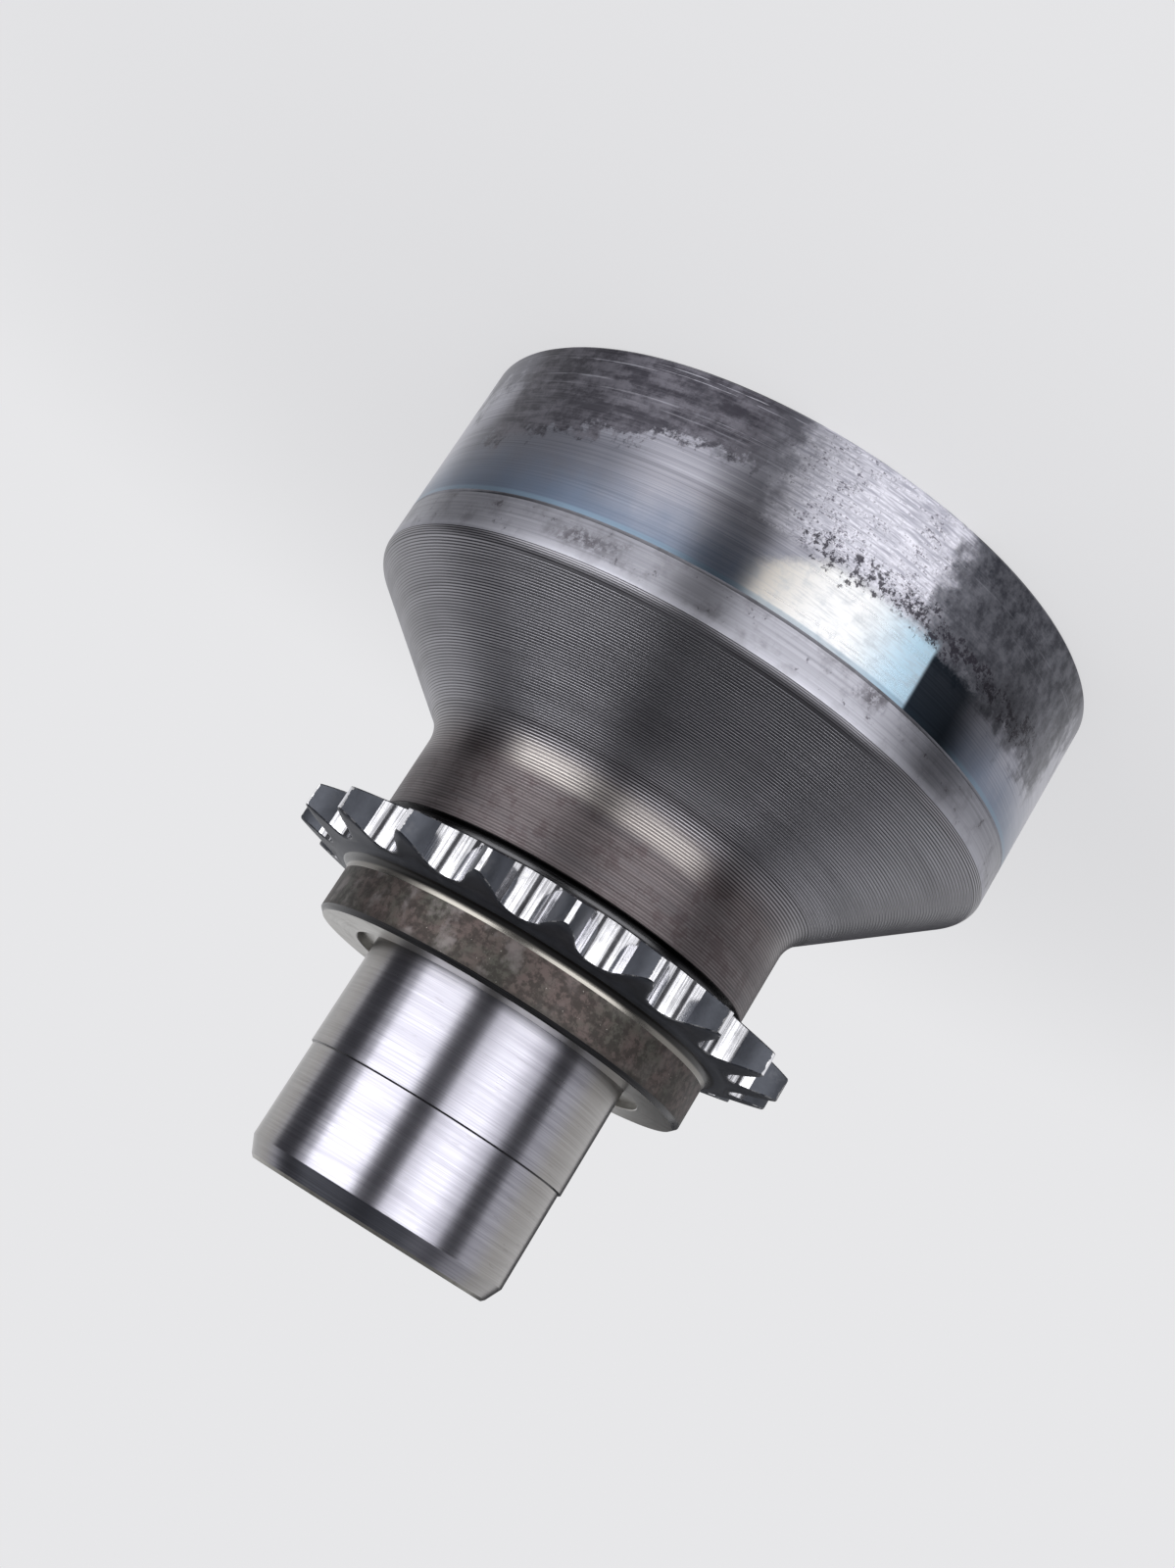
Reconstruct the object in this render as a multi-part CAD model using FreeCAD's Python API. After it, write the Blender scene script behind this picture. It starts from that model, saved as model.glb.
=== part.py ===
import FreeCAD, Part

import math
import os

from FreeCAD import Vector

# Crankshaft hub, turned from one steel bar.
# It stands on its big end's face: Z runs along the axis from that face, at height 0,
# to the end of the pilot shaft. All sizes are in millimetres, all angles in degrees.

# Seal land: the big drum that the front oil seal runs on
seal_land_radius = 33.0
seal_land_length = 16.4
rim_chamfer = 0.3

# Line groove: a fine V round the drum, between the seal land and the band
line_groove_width = 0.3
line_groove_depth = 0.2

# Band and cone: the band is measured to the sharp corner that its round replaces
band_length = 4.0
shoulder_round = 1.5
cone_half_angle = 50.4

# Neck: measured from the sharp corner with the cone, with a large fillet there
neck_radius = 19.45
neck_length = 9.2
neck_fillet = 3.9

# Relief groove between the neck and the sprocket, which lets the grinding wheel run out
relief_width = 1.5
relief_depth = 1.45

# Sprocket: one row of teeth for a roller chain, each narrowed to a slim land at its tip
chain_pitch = 8.0
roller_diameter = 5.0
roller_seat_ratio = 0.505
tooth_count = 19
tooth_tip_width = 2.3
tooth_root_width = 4.2
tooth_land_angle = 0.96
roller_seat_angle = 135.2
flank_radius = 5.5
first_tooth_angle = -91.3

# Collar: its end face clamps the next sprocket, with a shallow recess round the shaft
collar_radius = 19.4
collar_length = 5.8
collar_fillet = 1.0
collar_chamfer = 0.45
recess_width = 1.8
recess_depth = 0.7

# Pilot shaft: a ground seat, then a slightly thinner nose land with a lead-in
seat_radius = 13.4
seat_length = 10.3
nose_undersize = 0.23
nose_step_length = 0.15
nose_length = 11.6
lead_in_length = 1.85
lead_in_angle = 26.6
end_chamfer = 0.3

# Bore for the crankshaft bolt, which passes through the whole hub
bore_radius = 9.3
bore_chamfer = 0.5

# Cup in the big end, where the head of the crankshaft bolt sits
cup_radius = 18.5
cup_depth = 22.0
cup_mouth_chamfer = 0.8

# Tapped holes in the big end's face, which hold the damper
damper_hole_count = 8
damper_circle_diameter = 53.0
damper_hole_radius = 3.4
damper_hole_depth = 15.0
damper_hole_chamfer = 0.5

# How far a cutter reaches past the surface that it opens
cutter_overrun = 0.3

# Points closer than this count as one
same_point = 1e-6

# Heights along the axis, each from the one before
groove_start = seal_land_length
groove_end = groove_start + line_groove_width
cone_start = groove_end + band_length
cone_end = cone_start + (seal_land_radius - neck_radius) / math.tan(math.radians(cone_half_angle))
neck_end = cone_end + neck_length
sprocket_start = neck_end + relief_width
sprocket_middle = sprocket_start + tooth_root_width / 2
sprocket_end = sprocket_start + tooth_root_width
collar_face = sprocket_end + collar_length
shaft_step = collar_face + seat_length
shaft_end = shaft_step + nose_length

# Tooth gap: a roller seat on the pitch circle, and a convex flank tangent to its end
half_pitch_angle = math.pi / tooth_count
pitch_radius = chain_pitch / 2 / math.sin(half_pitch_angle)
roller_seat_radius = roller_seat_ratio * roller_diameter
seat_centre = Vector(pitch_radius, 0, 0)
half_seat_angle = math.radians(roller_seat_angle / 2)
towards_seat_end = Vector(-math.cos(half_seat_angle), math.sin(half_seat_angle), 0)
seat_end = seat_centre + towards_seat_end * roller_seat_radius
flank_centre = seat_centre + towards_seat_end * (roller_seat_radius + flank_radius)


def flank_crossing(angle):
    """Point where the flank crosses the ray at this angle from the middle of the gap."""
    ray = Vector(math.cos(angle), math.sin(angle), 0)
    along = flank_centre.dot(ray)
    aside = flank_centre.cross(ray).Length
    return ray * (along + math.sqrt(flank_radius**2 - aside**2))


# Teeth: the flanks leave a land at the tip, and the sides taper from root to tip
tooth_root_radius = pitch_radius - roller_seat_radius
tooth_tip_radius = flank_crossing(half_pitch_angle - math.radians(tooth_land_angle / 2)).Length
tooth_side_slope = (tooth_root_width - tooth_tip_width) / 2 / (tooth_tip_radius - tooth_root_radius)


def corner_trim(before, corner, after, radius):
    """Distance from a corner to where its round starts, and the round's middle point."""
    back = (before - corner).normalize()
    ahead = (after - corner).normalize()
    half_angle = back.getAngle(ahead) / 2
    trim = radius / math.tan(half_angle)
    inward = (back + ahead).normalize()
    middle = corner + inward * (radius / math.sin(half_angle) - radius)
    return corner + back * trim, middle, corner + ahead * trim


def rounded_face(corners):
    """Flat face in the XZ plane from (radius, height, round) corners, with true arcs."""
    points = [Vector(radius, 0, height) for radius, height, _ in corners]
    count = len(corners)
    stretches = []
    for index, (_, _, round_radius) in enumerate(corners):
        corner = points[index]
        if round_radius > 0:
            neighbours = points[index - 1], points[(index + 1) % count]
            stretches.append(corner_trim(neighbours[0], corner, neighbours[1], round_radius))
        else:
            stretches.append((corner,))
    edges = []
    for index, stretch in enumerate(stretches):
        following = stretches[(index + 1) % count]
        if len(stretch) == 3:
            edges.append(Part.Arc(*stretch).toShape())
        if stretch[-1].distanceToPoint(following[0]) > same_point:
            edges.append(Part.LineSegment(stretch[-1], following[0]).toShape())
    return Part.Face(Part.Wire(edges))


def turned(corners):
    """Solid of revolution about the Z axis."""
    return rounded_face(corners).revolve(Vector(0, 0, 0), Vector(0, 0, 1), 360)


def turned_blank():
    """The hub as it leaves the lathe: every form but the tooth gaps and the tapped holes."""
    nose_radius = seat_radius - nose_undersize
    lead_in_height = lead_in_length - end_chamfer
    lead_in_radius = nose_radius - lead_in_height * math.tan(math.radians(lead_in_angle))
    recess_radius = seat_radius + recess_width
    recess_floor = collar_face - recess_depth
    relief_radius = neck_radius - relief_depth
    lower_side_drop = tooth_side_slope * (tooth_tip_radius - collar_radius)
    groove_root = groove_end - line_groove_width / 4
    return turned([
        (cup_radius + cup_mouth_chamfer, 0, 0),
        (seal_land_radius - rim_chamfer, 0, 0),
        (seal_land_radius, rim_chamfer, 0),
        (seal_land_radius, groove_start, 0),
        (seal_land_radius - line_groove_depth, groove_root, 0),
        (seal_land_radius, groove_end, 0),
        (seal_land_radius, cone_start, shoulder_round),
        (neck_radius, cone_end, neck_fillet),
        (neck_radius, neck_end, 0),
        (relief_radius, neck_end, 0),
        (relief_radius, sprocket_start, 0),
        (tooth_root_radius, sprocket_start, 0),
        (tooth_tip_radius, sprocket_middle - tooth_tip_width / 2, 0),
        (tooth_tip_radius, sprocket_middle + tooth_tip_width / 2, 0),
        (collar_radius, sprocket_middle + tooth_tip_width / 2 + lower_side_drop, collar_fillet),
        (collar_radius, collar_face - collar_chamfer, 0),
        (collar_radius - collar_chamfer, collar_face, 0),
        (recess_radius, collar_face, 0),
        (recess_radius, recess_floor, 0),
        (seat_radius, recess_floor, 0),
        (seat_radius, shaft_step, 0),
        (nose_radius, shaft_step + nose_step_length, 0),
        (nose_radius, shaft_end - lead_in_length, 0),
        (lead_in_radius, shaft_end - end_chamfer, 0),
        (lead_in_radius - end_chamfer, shaft_end, 0),
        (bore_radius + bore_chamfer, shaft_end, 0),
        (bore_radius, shaft_end - bore_chamfer, 0),
        (bore_radius, cup_depth + bore_chamfer, 0),
        (bore_radius + bore_chamfer, cup_depth, 0),
        (cup_radius, cup_depth, 0),
        (cup_radius, cup_mouth_chamfer, 0),
    ])


def tooth_gap():
    """Cutter for one gap on the +X side; its flanks meet its neighbours' just past the tips."""
    flank_middle = flank_crossing((math.atan2(seat_end.y, seat_end.x) + half_pitch_angle) / 2)
    outer_end = flank_crossing(half_pitch_angle)

    def mirrored(point):
        return Vector(point.x, -point.y, 0)

    outline = Part.Wire([
        Part.Arc(mirrored(seat_end), Vector(tooth_root_radius, 0, 0), seat_end).toShape(),
        Part.Arc(seat_end, flank_middle, outer_end).toShape(),
        Part.Arc(outer_end, Vector(outer_end.Length, 0, 0), mirrored(outer_end)).toShape(),
        Part.Arc(mirrored(outer_end), mirrored(flank_middle), mirrored(seat_end)).toShape(),
    ])
    gap = Part.Face(outline).extrude(Vector(0, 0, tooth_root_width + 2 * cutter_overrun))
    gap.translate(Vector(0, 0, sprocket_start - cutter_overrun))
    return gap


def damper_hole():
    """Cutter for one tapped hole at its core size, with a countersunk mouth and a flat floor."""
    mouth_radius = damper_hole_radius + damper_hole_chamfer
    hole = turned([
        (0, -cutter_overrun, 0),
        (mouth_radius, -cutter_overrun, 0),
        (mouth_radius, 0, 0),
        (damper_hole_radius, damper_hole_chamfer, 0),
        (damper_hole_radius, damper_hole_depth, 0),
        (0, damper_hole_depth, 0),
    ])
    hole.translate(Vector(damper_circle_diameter / 2, 0, 0))
    return hole


def patterned(cutter, count, first_angle):
    """Copies of a cutter, evenly spaced round the axis."""
    copies = []
    for index in range(count):
        copy = cutter.copy()
        copy.rotate(Vector(0, 0, 0), Vector(0, 0, 1), first_angle + index * 360 / count)
        copies.append(copy)
    return copies


def crankshaft_hub():
    """The whole hub, with gaps half a pitch away from the tooth that faces the front."""
    gap_angle = first_tooth_angle + math.degrees(half_pitch_angle)
    gaps = patterned(tooth_gap(), tooth_count, gap_angle)
    holes = patterned(damper_hole(), damper_hole_count, 0)
    return turned_blank().cut(gaps + holes)


os.makedirs("parts", exist_ok=True)
crankshaft_hub().exportStep("parts/crankshaft_hub.step")
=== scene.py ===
import math

import bmesh
import bpy
from mathutils import Matrix, Vector


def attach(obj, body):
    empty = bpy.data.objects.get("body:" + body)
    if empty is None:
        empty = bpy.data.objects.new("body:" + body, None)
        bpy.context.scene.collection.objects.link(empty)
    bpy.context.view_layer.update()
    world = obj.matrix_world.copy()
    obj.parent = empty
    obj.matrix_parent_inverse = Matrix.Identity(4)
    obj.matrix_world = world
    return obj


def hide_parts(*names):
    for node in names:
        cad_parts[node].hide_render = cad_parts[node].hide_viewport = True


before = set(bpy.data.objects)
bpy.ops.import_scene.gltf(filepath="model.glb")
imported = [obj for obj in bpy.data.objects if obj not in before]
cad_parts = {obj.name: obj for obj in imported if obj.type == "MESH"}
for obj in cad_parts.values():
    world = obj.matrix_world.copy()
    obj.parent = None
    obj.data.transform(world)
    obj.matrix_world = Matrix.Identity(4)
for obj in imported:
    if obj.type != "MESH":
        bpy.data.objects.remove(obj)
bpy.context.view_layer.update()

# Crankshaft hub, standing on its big end. The hub's sizes and the camera's place are in
# millimetres, as in the part's source, and the studio's sizes in metres. Azimuths are in degrees
# round the axis, from the side that faces the camera (-Y) towards +X, which is on the left.

MM = 0.001


# Sizes of the hub

seal_land_radius = 33.0
rim_chamfer = 0.3
groove_start = 16.4
groove_end = 16.7
line_groove_depth = 0.2
cone_start = 20.7
shoulder_round = 1.5
cone_half_angle = math.radians(50.4)
neck_radius = 19.45
neck_length = 9.2
neck_fillet = 3.9
relief_width = 1.5
relief_depth = 1.45
relief_corner = 0.2
chain_pitch = 8.0
roller_diameter = 5.0
roller_seat_radius = 0.505 * roller_diameter
tooth_count = 19
tooth_tip_width = 2.3
tooth_root_width = 4.2
tooth_land_angle = math.radians(0.96)
half_seat_angle = math.radians(67.6)
flank_radius = 5.5
first_tooth_azimuth = -1.3
tooth_edge = 0.1
collar_radius = 19.4
collar_length = 5.8
collar_fillet = 1.0
collar_chamfer = 0.45
recess_radius = 15.2
recess_depth = 0.7
seat_radius = 13.4
seat_length = 10.3
nose_radius = 13.17
nose_step_length = 0.15
nose_length = 11.6
lead_in_length = 1.85
lead_in_angle = math.radians(26.6)
end_chamfer = 0.3
bore_radius = 9.3
bore_chamfer = 0.5
cup_radius = 18.5
cup_depth = 22.0
cup_mouth_chamfer = 0.8
damper_hole_count = 8
damper_circle_radius = 26.5
damper_hole_radius = 3.4
damper_hole_depth = 15.0
damper_hole_chamfer = 0.5
thread_pitch = 1.25
thread_depth = 0.45
edge_break = 0.08

# Where one finish gives way to the next: up the shoulder's round, and inside the tooth roots
band_round_height = 0.4
tooth_foot_inset = 0.5
groove_side_inset = 0.8
collar_side_inset = 0.7

# Turned grooves: feed along the surface, and depth under the crests
turning_feed = 0.275
cone_groove_depth = 0.07
fillet_groove_depth = 0.05
neck_groove_depth = 0.02

cone_end = cone_start + (seal_land_radius - neck_radius) / math.tan(cone_half_angle)
neck_end = cone_end + neck_length
sprocket_start = neck_end + relief_width
sprocket_middle = sprocket_start + tooth_root_width / 2
collar_face = sprocket_start + tooth_root_width + collar_length
shaft_step = collar_face + seat_length
shaft_end = shaft_step + nose_length

# Tooth gap geometry, as polar radius against the angle from the middle of a gap
half_pitch_angle = math.pi / tooth_count
pitch_radius = chain_pitch / 2 / math.sin(half_pitch_angle)
tooth_root_radius = pitch_radius - roller_seat_radius
flank_reach = roller_seat_radius + flank_radius
flank_centre = Vector((
    pitch_radius - flank_reach * math.cos(half_seat_angle),
    flank_reach * math.sin(half_seat_angle),
))
seat_end = Vector((
    pitch_radius - roller_seat_radius * math.cos(half_seat_angle),
    roller_seat_radius * math.sin(half_seat_angle),
))
seat_end_angle = math.atan2(seat_end.y, seat_end.x)
land_start_angle = half_pitch_angle - tooth_land_angle / 2


def circle_crossing(centre, radius, angle, side):
    """Radius at which a ray from the axis crosses a circle, on its near (-1) or far (1) side."""
    ray = Vector((math.cos(angle), math.sin(angle)))
    along = centre.dot(ray)
    aside = centre.cross(ray)
    return along + side * math.sqrt(radius**2 - aside**2)


tooth_tip_radius = circle_crossing(flank_centre, flank_radius, land_start_angle, 1)
tooth_side_slope = (tooth_root_width - tooth_tip_width) / 2 / (tooth_tip_radius - tooth_root_radius)


# Where the turned grooves run along the axis, and how many there are
corner_share = math.tan(cone_half_angle / 2)
round_start = cone_start - shoulder_round * corner_share
fillet_end = cone_end + neck_fillet * corner_share
cone_line_start = round_start + shoulder_round * math.sin(cone_half_angle)
cone_line_end = fillet_end - neck_fillet * math.sin(cone_half_angle)
cone_line_length = (cone_line_end - cone_line_start) / math.cos(cone_half_angle)
cone_groove_count = round(cone_line_length / turning_feed)
fillet_groove_count = round(cone_half_angle * neck_fillet / turning_feed)
neck_line_start = fillet_end
neck_line_end = neck_end - edge_break
neck_groove_count = round((neck_line_end - neck_line_start) / turning_feed)


# Zones of the surface, each with a finish of its own

ZONES = [
    "land", "band", "turned", "groove", "flank", "edge", "seat", "fillet", "collar", "face",
    "shaft", "inside",
]
ZONE_INDEX = {name: index for index, name in enumerate(ZONES)}


# Mesh of the hub: rings of points round the axis, each joined to the one before

PLAIN_COLUMNS = 12 * tooth_count
THREAD_COLUMNS = 32
THREAD_ROWS_PER_TURN = 4
LAND_STEPS = 6
SHORT_STEPS = 3
ROUND_STEPS = 8
SEAT_STEPS = 12
FLANK_STEPS = 4


class RingMesh:
    """Points and faces of a surface of rings round an upright axis, each with its own outline."""

    def __init__(self, bm, columns, first_azimuth=0.0, axis=(0.0, 0.0)):
        self.bm = bm
        self.plain = [first_azimuth + 360 * i / columns for i in range(columns)]
        self.axis = axis
        self.last = None

    def ring(self, azimuths, radii, heights, zone=None, sharp=False):
        """A ring of points; zone names the strip between it and the last ring, or each face."""
        verts = []
        for azimuth, radius, height in zip(azimuths, radii, heights):
            angle = math.radians(azimuth)
            x = self.axis[0] + radius * math.sin(angle)
            y = self.axis[1] - radius * math.cos(angle)
            verts.append(self.bm.verts.new((x * MM, y * MM, height * MM)))
        ring = list(zip(azimuths, verts))
        if self.last:
            self.join(self.last, ring, zone)
        if sharp:
            self.sharpen(verts)
        self.last = ring
        return verts

    def circle(self, radius, height, zone=None, sharp=False):
        """A plain round ring."""
        count = len(self.plain)
        return self.ring(self.plain, [radius] * count, [height] * count, zone, sharp)

    def corner(self, radius, height, zone=None):
        """A plain round ring with a sharp edge."""
        return self.circle(radius, height, zone, sharp=True)

    def sharpen(self, verts):
        """Marks the edges round a closed ring as sharp."""
        for a, b in zip(verts, verts[1:] + verts[:1]):
            edge = self.bm.edges.get((a, b)) or self.bm.edges.new((a, b))
            edge.smooth = False

    def face(self, verts, zone):
        face = self.bm.faces.new(verts)
        face.smooth = True
        face.material_index = ZONE_INDEX[zone]

    def join(self, first, second, zone):
        """Faces between two rings: quads if they match, else triangles in order of azimuth."""
        if len(first) == len(second):
            for i in range(len(first)):
                j = (i + 1) % len(first)
                name = zone if isinstance(zone, str) else zone[i]
                self.face([first[i][1], second[i][1], second[j][1], first[j][1]], name)
            return
        a = first + [(first[0][0] + 360, first[0][1])]
        b = second + [(second[0][0] + 360, second[0][1])]
        i = j = 0
        while i < len(first) or j < len(second):
            step_first = j == len(second) or (i < len(first) and a[i + 1][0] <= b[j + 1][0])
            if step_first:
                self.face([a[i][1], b[j][1], a[i + 1][1]], zone)
                i += 1
            else:
                self.face([a[i][1], b[j][1], b[j + 1][1]], zone)
                j += 1


def arc(centre_radius, centre_height, radius, start, end, steps):
    """Profile points of an arc, by angle in degrees from the outward direction."""
    points = []
    for i in range(steps + 1):
        angle = math.radians(start + (end - start) * i / steps)
        point = centre_radius + radius * math.cos(angle), centre_height + radius * math.sin(angle)
        points.append(point)
    return points


def turned_line(mesh, start, end, count, depth):
    """Turned grooves along a straight profile: sharp crests, hollow between."""
    start, end = Vector(start), Vector(end)
    slope = (end - start).normalized()
    inward = Vector((-slope.y, slope.x))
    for i in range(count):
        mesh.circle(*(start.lerp(end, (i + 0.5) / count) + inward * depth), "turned")
        mesh.corner(*start.lerp(end, (i + 1) / count), "turned")


def turned_hollow(mesh, centre, radius, start, end, count, depth):
    """Turned grooves along a hollow arc of the profile, by angle from the outward direction."""
    valleys = arc(*centre, radius + depth, start, end, 2 * count)
    crests = arc(*centre, radius, start, end, 2 * count)
    for i in range(count):
        mesh.circle(*valleys[2 * i + 1], "turned")
        mesh.corner(*crests[2 * i + 2], "turned")


def tooth_columns():
    """Azimuths round the sprocket, the outline's radius at each, and the zone to its right."""
    gap = []
    for i in range(SEAT_STEPS):
        angle = seat_end_angle * (2 * i / SEAT_STEPS - 1)
        radius = circle_crossing(Vector((pitch_radius, 0)), roller_seat_radius, angle, -1)
        gap.append((angle, radius, "seat"))
    for i in range(FLANK_STEPS):
        angle = seat_end_angle + (land_start_angle - seat_end_angle) * i / FLANK_STEPS
        gap.append((angle, circle_crossing(flank_centre, flank_radius, angle, 1), "flank"))
    gap.append((land_start_angle, tooth_tip_radius, "seat"))
    for i in range(FLANK_STEPS):
        angle = land_start_angle + (seat_end_angle - land_start_angle) * i / FLANK_STEPS
        radius = circle_crossing(flank_centre, flank_radius, angle, 1)
        gap.append((2 * half_pitch_angle - angle, radius, "flank"))
    columns = []
    for tooth in range(tooth_count):
        middle = first_tooth_azimuth + math.degrees(half_pitch_angle) * (2 * tooth + 1)
        for angle, radius, zone in gap:
            columns.append(((middle + math.degrees(angle)) % 360, radius, zone))
    return sorted(columns)


def tooth_side(radius, sign):
    """Height of the sprocket's lower (-1) or upper (1) side at a radius."""
    taper = tooth_side_slope * max(0.0, radius - tooth_root_radius)
    return sprocket_middle + sign * (tooth_root_width / 2 - taper)


def add_sprocket(mesh):
    """The tooth ring, from the flat of the relief groove to the side next to the collar."""
    columns = tooth_columns()
    azimuths = [column[0] for column in columns]
    outline = [column[1] for column in columns]
    zones = [column[2] for column in columns]
    foot = tooth_root_radius - tooth_foot_inset

    def side_ring(share, sign, zone="flank"):
        radii = [foot + (radius - tooth_edge - foot) * share for radius in outline]
        heights = [tooth_side(radius, sign) for radius in radii]
        mesh.ring(azimuths, radii, heights, zone)

    for share in (0, 0.35, 0.7, 1):
        side_ring(share, -1)
    lower_edge = [tooth_side(radius, -1) + tooth_edge for radius in outline]
    upper_edge = [tooth_side(radius, 1) - tooth_edge for radius in outline]
    lower = mesh.ring(azimuths, outline, lower_edge, "edge", sharp=True)
    upper = mesh.ring(azimuths, outline, upper_edge, zones, sharp=True)
    for i, zone in enumerate(zones):
        if zones[i - 1] != zone:
            mesh.bm.edges.get((lower[i], upper[i])).smooth = False
    side_ring(1, 1, "edge")
    for share in (0.7, 0.35, 0):
        side_ring(share, 1)


def add_drum(mesh):
    """Seal land, line groove and band, from the rim's chamfer to the round before the cone."""
    mesh.corner(seal_land_radius, rim_chamfer, "land")
    for i in range(1, LAND_STEPS):
        height = rim_chamfer + (groove_start - rim_chamfer) * i / LAND_STEPS
        mesh.circle(seal_land_radius, height, "land")
    groove_root = groove_end - (groove_end - groove_start) / 4
    mesh.corner(seal_land_radius, groove_start, "land")
    mesh.corner(seal_land_radius - line_groove_depth, groove_root, "band")
    mesh.corner(seal_land_radius, groove_end, "groove")
    for i in range(1, SHORT_STEPS + 1):
        height = groove_end + (round_start - groove_end) * i / SHORT_STEPS
        mesh.circle(seal_land_radius, height, "band")


def add_cone_and_neck(mesh):
    """The shoulder's round and the turned cone, fillet and neck."""
    cone_turn = math.degrees(cone_half_angle)
    shoulder_centre = (seal_land_radius - shoulder_round, round_start)
    shoulder = arc(*shoulder_centre, shoulder_round, 0, cone_turn, ROUND_STEPS)
    for radius, height in shoulder[1:]:
        zone = "band" if height < round_start + band_round_height else "turned"
        mesh.circle(radius, height, zone)
    mesh.sharpen([vert for azimuth, vert in mesh.last])
    fillet_centre = (neck_radius + neck_fillet, fillet_end)
    fillet_start = arc(*fillet_centre, neck_fillet, 180 + cone_turn, 180, 1)[0]
    turned_line(mesh, shoulder[-1], fillet_start, cone_groove_count, cone_groove_depth)
    turned_hollow(mesh, fillet_centre, neck_fillet, 180 + cone_turn, 180, fillet_groove_count,
                  fillet_groove_depth)
    turned_line(mesh, (neck_radius, neck_line_start), (neck_radius, neck_line_end),
                neck_groove_count, neck_groove_depth)


def add_relief_groove(mesh):
    """The groove between the neck and the sprocket."""
    relief_radius = neck_radius - relief_depth
    mesh.corner(neck_radius - edge_break, neck_end, "turned")
    mesh.circle(relief_radius + relief_corner, neck_end, "groove")
    mesh.circle(relief_radius, neck_end + relief_corner, "groove")
    mesh.circle(relief_radius, sprocket_start - relief_corner, "groove")
    mesh.circle(relief_radius + relief_corner, sprocket_start, "groove")
    mesh.circle(tooth_root_radius - groove_side_inset, sprocket_start, "groove")


def side_height(radius):
    """Height of the sprocket's side next to the collar, also inside the tooth roots."""
    return sprocket_middle + tooth_tip_width / 2 + tooth_side_slope * (tooth_tip_radius - radius)


def add_collar(mesh):
    """The fillet under the sprocket, the collar, its end face and the recess round the shaft."""
    side_angle = math.degrees(math.atan(tooth_side_slope))
    half_corner = math.radians((90 + side_angle) / 2)
    reach = collar_fillet / math.tan(half_corner)
    centre = (collar_radius + collar_fillet, side_height(collar_radius) + reach)
    fillet = arc(*centre, collar_fillet, 270 - side_angle, 180, ROUND_STEPS)
    side_radius = tooth_root_radius - collar_side_inset
    mesh.circle(side_radius, side_height(side_radius), "flank")
    mesh.circle(*fillet[0], "flank")
    for radius, height in fillet[1:]:
        mesh.circle(radius, height, "fillet")
    collar_start = fillet[-1][1]
    collar_end = collar_face - collar_chamfer
    for i in range(1, SHORT_STEPS + 1):
        height = collar_start + (collar_end - collar_start) * i / SHORT_STEPS
        mesh.circle(collar_radius, height, "collar", sharp=i == SHORT_STEPS)
    mesh.corner(collar_radius - collar_chamfer, collar_face, "groove")
    mesh.corner(recess_radius + edge_break, collar_face, "face")
    mesh.corner(recess_radius, collar_face - edge_break, "face")
    mesh.corner(recess_radius, collar_face - recess_depth, "face")
    mesh.corner(seat_radius, collar_face - recess_depth, "face")


def add_shaft(mesh):
    """The pilot shaft: sprocket seat, fine step, thinner nose and lead-in."""
    lead_in_height = lead_in_length - end_chamfer
    lead_in_radius = nose_radius - lead_in_height * math.tan(lead_in_angle)
    mesh.circle(seat_radius, shaft_step - seat_length / 2, "shaft")
    mesh.corner(seat_radius, shaft_step, "shaft")
    mesh.corner(nose_radius, shaft_step + nose_step_length, "groove")
    mesh.circle(nose_radius, shaft_end - nose_length / 2, "shaft")
    mesh.corner(nose_radius, shaft_end - lead_in_length, "shaft")
    mesh.corner(lead_in_radius, shaft_end - end_chamfer, "shaft")
    mesh.corner(lead_in_radius - end_chamfer, shaft_end, "face")


def add_bore(mesh):
    """The through bore and the cup for the bolt's head, down to the mouth in the big end."""
    mesh.corner(bore_radius + bore_chamfer, shaft_end, "face")
    mesh.corner(bore_radius, shaft_end - bore_chamfer, "inside")
    mesh.corner(bore_radius, cup_depth + bore_chamfer, "inside")
    mesh.corner(bore_radius + bore_chamfer, cup_depth, "inside")
    mesh.corner(cup_radius, cup_depth, "inside")
    mesh.corner(cup_radius, cup_mouth_chamfer, "inside")
    return mesh.corner(cup_radius + cup_mouth_chamfer, 0, "inside")


def add_damper_hole(bm, turn):
    """A tapped hole in the big end, its centre at an angle from +X; returns the mouth's points."""
    centre = (damper_circle_radius * math.cos(turn), damper_circle_radius * math.sin(turn))
    hole = RingMesh(bm, THREAD_COLUMNS, 90.0, centre)
    mouth = hole.corner(damper_hole_radius + damper_hole_chamfer, 0.0)
    hole.corner(damper_hole_radius, damper_hole_chamfer, "inside")
    thread_length = damper_hole_depth - damper_hole_chamfer - thread_pitch
    rows = round(thread_length / thread_pitch * THREAD_ROWS_PER_TURN)
    for row in range(1, rows + 1):
        height = damper_hole_chamfer + thread_length * row / rows
        fade = min(1, row / THREAD_ROWS_PER_TURN, (rows - row) / THREAD_ROWS_PER_TURN)
        radii = []
        for i in range(THREAD_COLUMNS):
            phase = (height / thread_pitch - i / THREAD_COLUMNS) % 1
            radii.append(damper_hole_radius + thread_depth * fade * (1 - abs(2 * phase - 1)))
        hole.ring(hole.plain, radii, [height] * THREAD_COLUMNS, "inside")
    bottom = hole.corner(damper_hole_radius, damper_hole_depth, "inside")
    hole.face(list(reversed(bottom)), "inside")
    return mouth


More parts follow.
